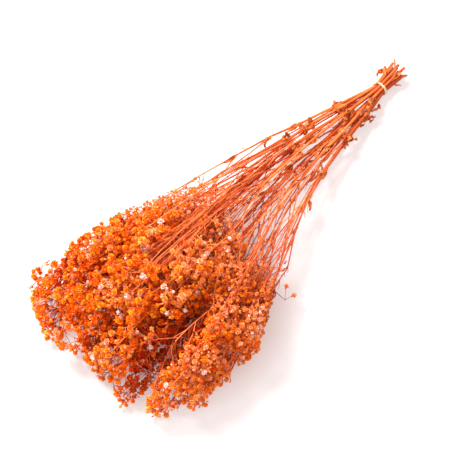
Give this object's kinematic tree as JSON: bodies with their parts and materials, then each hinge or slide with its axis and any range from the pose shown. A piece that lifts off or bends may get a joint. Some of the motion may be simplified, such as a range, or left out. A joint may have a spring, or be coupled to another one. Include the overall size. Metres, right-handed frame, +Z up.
{
  "type": "dried gypsophila bunch",
  "caption": "Tied bunch of dried, dyed gypsophila lying on its side: bare jointed stems held by an elastic band, branching into a wide fan of small blooms.",
  "frame": {"origin": "middle of the bunch's box, on the surface that it lies on", "axes": "+X along the bunch towards the cut ends, +Y across the fan of blooms, +Z up from the surface"},
  "size_m": [0.464, 0.216, 0.0949],
  "materials": {
    "dyed_stem": "dry, matte, dyed red-orange",
    "dyed_bloom": "papery dried petals, dyed bright orange, paler at the rims",
    "elastic": "cream, matte"
  },
  "bodies": {
    "root": {"gypsophila_stem_01": "dyed_stem", "gypsophila_stem_02": "dyed_stem", "gypsophila_stem_03": "dyed_stem", "gypsophila_stem_04": "dyed_stem", "gypsophila_stem_05": "dyed_stem", "gypsophila_stem_06": "dyed_stem", "gypsophila_stem_07": "dyed_stem", "gypsophila_stem_08": "dyed_stem", "gypsophila_stem_09": "dyed_stem", "gypsophila_stem_10": "dyed_stem", "gypsophila_stem_11": "dyed_stem", "gypsophila_stem_12": "dyed_stem", "gypsophila_stem_13": "dyed_stem", "gypsophila_stem_14": "dyed_stem", "elastic_band": "elastic"}
  },
  "joints": []
}
